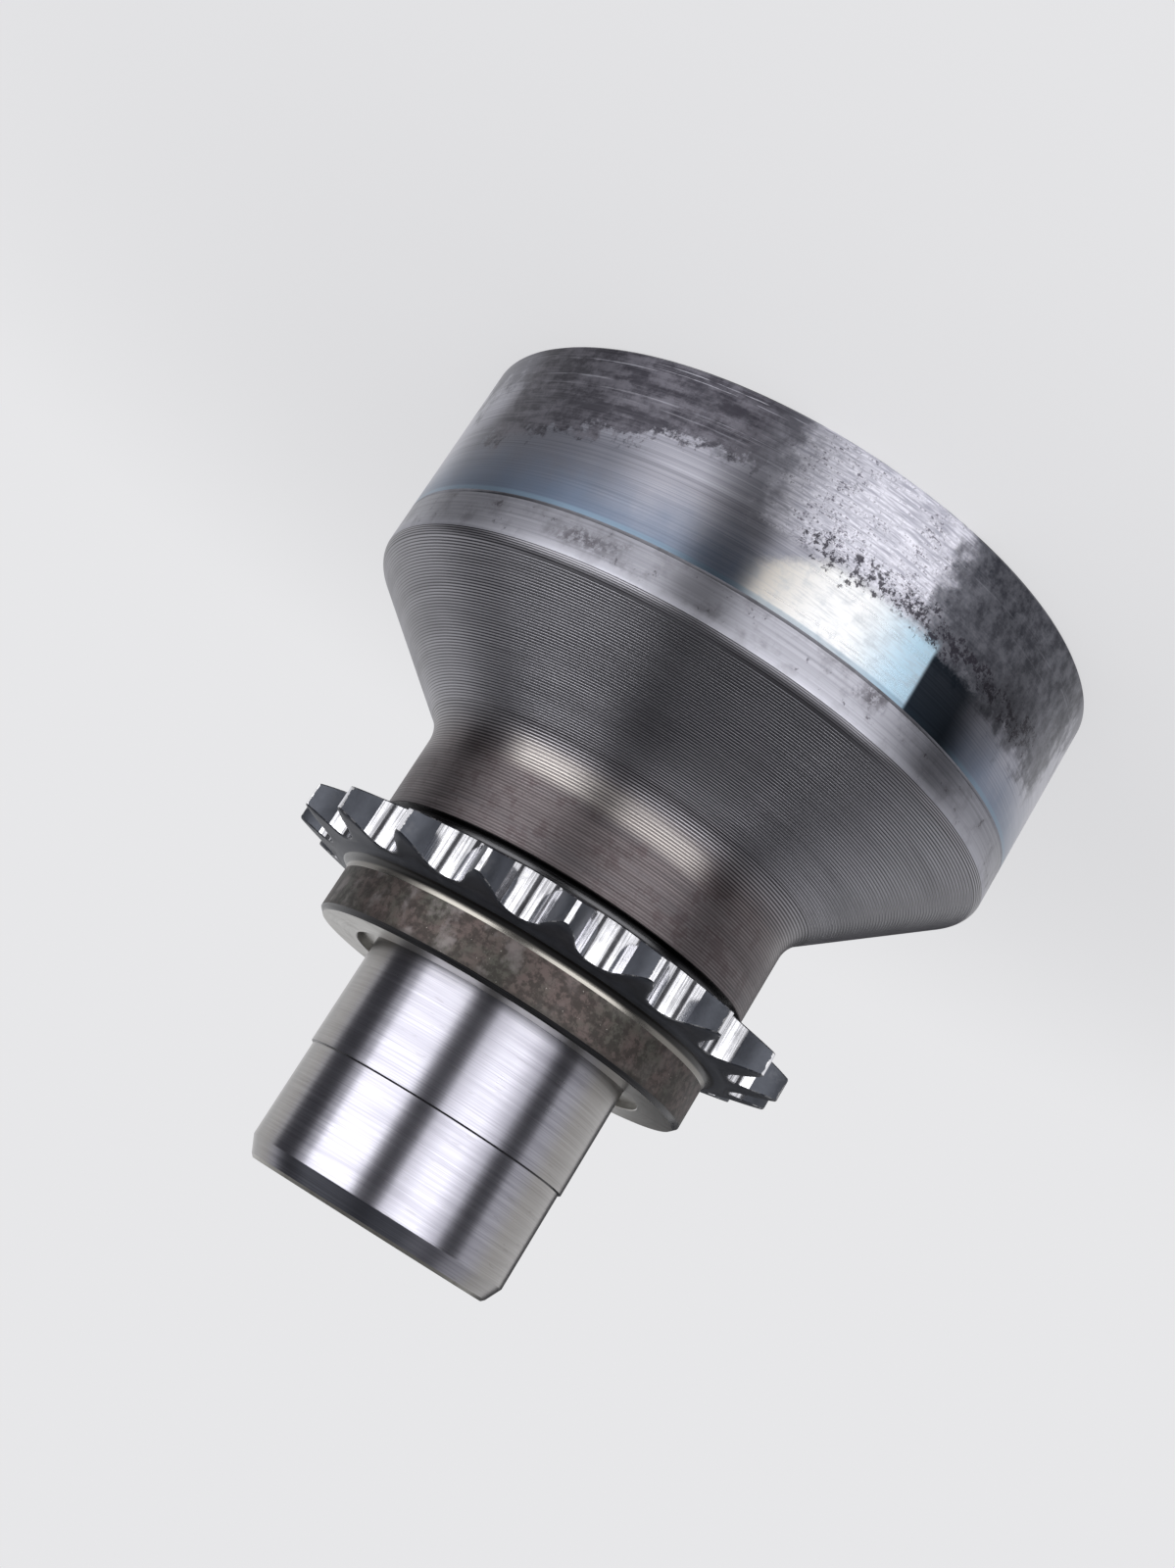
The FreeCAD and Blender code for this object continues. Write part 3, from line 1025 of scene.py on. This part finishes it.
def inside_metal():
    """Bore, cup, big face and tapped holes: turned steel with traces of old oil."""
    m = Metal("inside", anisotropic=0.3)
    rings = m.lines(m.plus(m.radius, m.height), 4.0, 2.5)
    blotch = m.cloud(0.2, 6.0)
    colour = m.mix(rings, rgb(110, 108, 108), rgb(172, 170, 170))
    colour = m.mix(m.ramp(blotch, 0.48, 0.7, 0.0, 0.6), colour, rgb(92, 80, 68))
    return m.done(colour, m.plus(0.3, m.times(blotch, 0.16)), rings, relief_mm=0.006)


def linked(name, data):
    """A new object in the scene."""
    item = bpy.data.objects.new(name, data)
    bpy.context.scene.collection.objects.link(item)
    return item


def mesh_object(name, bm):
    """A new object in the scene from a finished mesh."""
    data = bpy.data.meshes.new(name)
    bm.to_mesh(data)
    bm.free()
    return linked(name, data)


def add_hub():
    """The hub's one visible piece, with its finishes in the order of ZONES."""
    hub = mesh_object("crankshaft_hub_surface", hub_surface())
    finishes = (
        land_metal, band_metal, turned_metal, groove_painted_shade_metal, flank_metal, edge_metal,
        seat_metal, fillet_metal, collar_metal, face_metal, shaft_metal, inside_metal,
    )
    for finish in finishes:
        hub.data.materials.append(finish())
    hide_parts("crankshaft_hub")
    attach(hub, "root")


# Camera: its place and turn were fitted to the circles in the photograph

camera_place = Vector((0.0, -183.68, 73.83))
camera_right = Vector((-0.84785, -0.10643, -0.51943))
camera_up = Vector((0.52966, -0.21501, -0.82050))
camera_forward = Vector((0.02436, 0.97079, -0.23867))
focal_length = 45.46
sensor_width = 36.0
nearest_clip = 0.01
farthest_clip = 20.0


def add_camera():
    """The camera at the photograph's viewing angle."""
    data = bpy.data.cameras.new("camera")
    data.sensor_width = sensor_width
    data.lens = focal_length
    data.clip_start = nearest_clip
    data.clip_end = farthest_clip
    camera = linked("camera", data)
    turn = Matrix((camera_right, camera_up, -camera_forward)).transposed()
    camera.matrix_world = Matrix.Translation(camera_place * MM) @ turn.to_4x4()
    bpy.context.scene.camera = camera


# Studio: a pale floor that runs into a pale world, soft boxes in front, black boards between.
# Distances are from the hub's axis, heights from the floor.

studio_pale = (0.80, 0.80, 0.815, 1.0)
studio_top = (0.24, 0.24, 0.25, 1.0)
board_black = (0.07, 0.07, 0.075, 1.0)
floor_radius = 5.0
floor_sides = 96
glow_start = 0.03
glow_end = 0.16
glow_least = 0.75
overhead_start = 0.35
overhead_end = 0.9
lamp_distance = 0.3
lamp_height = 0.17
lamp_foot = 0.002
board_reach = 0.27
board_height = 0.3
board_foot = 0.0005
board_steps = 8


def smooth_rise(tree, value, start, end, least=0.0):
    """A smooth step, from least to 1, of a value from start to end."""
    node = tree.nodes.new("ShaderNodeMapRange")
    node.interpolation_type = "SMOOTHSTEP"
    node.inputs["From Min"].default_value = start
    node.inputs["From Max"].default_value = end
    node.inputs["To Min"].default_value = least
    tree.links.new(value, node.inputs["Value"])
    return node.outputs[0]


def add_floor():
    """Pale matt floor that takes the hub's shadow and glows like the world farther away."""
    bm = bmesh.new()
    bmesh.ops.create_circle(bm, cap_ends=True, segments=floor_sides, radius=floor_radius)
    floor = mesh_object("floor", bm)
    material = bpy.data.materials.new("floor")
    material.use_nodes = True
    tree = material.node_tree
    link = tree.links.new
    matt = tree.nodes["Principled BSDF"]
    matt.inputs["Base Color"].default_value = studio_pale
    matt.inputs["Roughness"].default_value = 0.9
    matt.inputs["Specular IOR Level"].default_value = 0.0
    glow = tree.nodes.new("ShaderNodeEmission")
    glow.inputs["Color"].default_value = studio_pale
    place = tree.nodes.new("ShaderNodeTexCoord")
    distance = tree.nodes.new("ShaderNodeVectorMath")
    distance.operation = "LENGTH"
    link(place.outputs["Object"], distance.inputs[0])
    beyond_hub = tree.nodes.new("ShaderNodeMath")
    beyond_hub.operation = "GREATER_THAN"
    beyond_hub.inputs[1].default_value = (seal_land_radius - rim_chamfer) * MM
    link(distance.outputs["Value"], beyond_hub.inputs[0])
    glow_share = tree.nodes.new("ShaderNodeMath")
    glow_share.operation = "MULTIPLY"
    rise = smooth_rise(tree, distance.outputs["Value"], glow_start, glow_end, glow_least)
    link(rise, glow_share.inputs[0])
    link(beyond_hub.outputs[0], glow_share.inputs[1])
    blend = tree.nodes.new("ShaderNodeMixShader")
    link(glow_share.outputs[0], blend.inputs[0])
    link(matt.outputs[0], blend.inputs[1])
    link(glow.outputs[0], blend.inputs[2])
    link(blend.outputs[0], tree.nodes["Material Output"].inputs["Surface"])
    floor.data.materials.append(material)


def add_world():
    """Pale all round, darker overhead."""
    world = bpy.data.worlds.new("studio")
    world.use_nodes = True
    tree = world.node_tree
    place = tree.nodes.new("ShaderNodeTexCoord")
    split = tree.nodes.new("ShaderNodeSeparateXYZ")
    tree.links.new(place.outputs["Generated"], split.inputs[0])
    mix = tree.nodes.new("ShaderNodeMix")
    mix.data_type = "RGBA"
    mix.inputs[6].default_value = studio_pale
    mix.inputs[7].default_value = studio_top
    rise = smooth_rise(tree, split.outputs[2], overhead_start, overhead_end)
    tree.links.new(rise, mix.inputs[0])
    tree.links.new(mix.outputs[2], tree.nodes["Background"].inputs["Color"])
    bpy.context.scene.world = world


def direction(azimuth):
    """Level unit vector from the axis towards an azimuth."""
    angle = math.radians(azimuth)
    return Vector((math.sin(angle), -math.cos(angle), 0.0))


def soft_box(name, azimuths, radiance):
    """Tall lamp that spans these azimuths and shows as an upright bright band in ground steel."""
    spread = math.radians(azimuths[1] - azimuths[0])
    width = 2 * lamp_distance * math.tan(spread / 2)
    outward = direction(sum(azimuths) / 2)
    data = bpy.data.lights.new(name, "AREA")
    data.shape = "RECTANGLE"
    data.size = width
    data.size_y = lamp_height
    data.energy = radiance * math.pi * width * lamp_height
    lamp = linked(name, data)
    centre = outward * lamp_distance + Vector((0, 0, lamp_foot + lamp_height / 2))
    turn = (-outward).to_track_quat("-Z", "Y").to_matrix().to_4x4()
    lamp.matrix_world = Matrix.Translation(centre) @ turn
    lamp.visible_camera = False


def board_cloth(name):
    """Plain black cloth for a board."""
    material = bpy.data.materials.new(name)
    material.use_nodes = True
    shader = material.node_tree.nodes["Principled BSDF"]
    shader.inputs["Base Color"].default_value = board_black
    shader.inputs["Roughness"].default_value = 1.0
    shader.inputs["Specular IOR Level"].default_value = 0.0
    return material


def black_board(name, azimuths, near):
    """Board and its foot on the floor, which show only as a dark band in the ground steel."""
    bm = bmesh.new()
    lift = Vector((0, 0, board_foot))
    rows = []
    start, end = azimuths
    for i in range(board_steps + 1):
        outward = direction(start + (end - start) * i / board_steps)
        reach = outward * board_reach
        places = (outward * near + lift, reach + lift, reach + Vector((0, 0, board_height)))
        rows.append([bm.verts.new(place) for place in places])
    for first, second in zip(rows, rows[1:]):
        for j in range(2):
            bm.faces.new([first[j], second[j], second[j + 1], first[j + 1]])
    board = mesh_object(name, bm)
    board.data.materials.append(board_cloth(name))
    board.visible_camera = False
    board.visible_diffuse = False
    board.visible_shadow = False


add_hub()
add_camera()
add_floor()
add_world()
soft_box("soft_box_right", (-51, 1), 3.1)
soft_box("soft_box_left", (26, 70), 3.4)
black_board("board_right", (-74, -55), 0.042)
black_board("board_middle", (4, 22), 0.042)
black_board("board_left", (80, 110), 0.075)
black_board("board_behind", (187, 211), 0.1)

bpy.context.scene.view_settings.view_transform = "Standard"
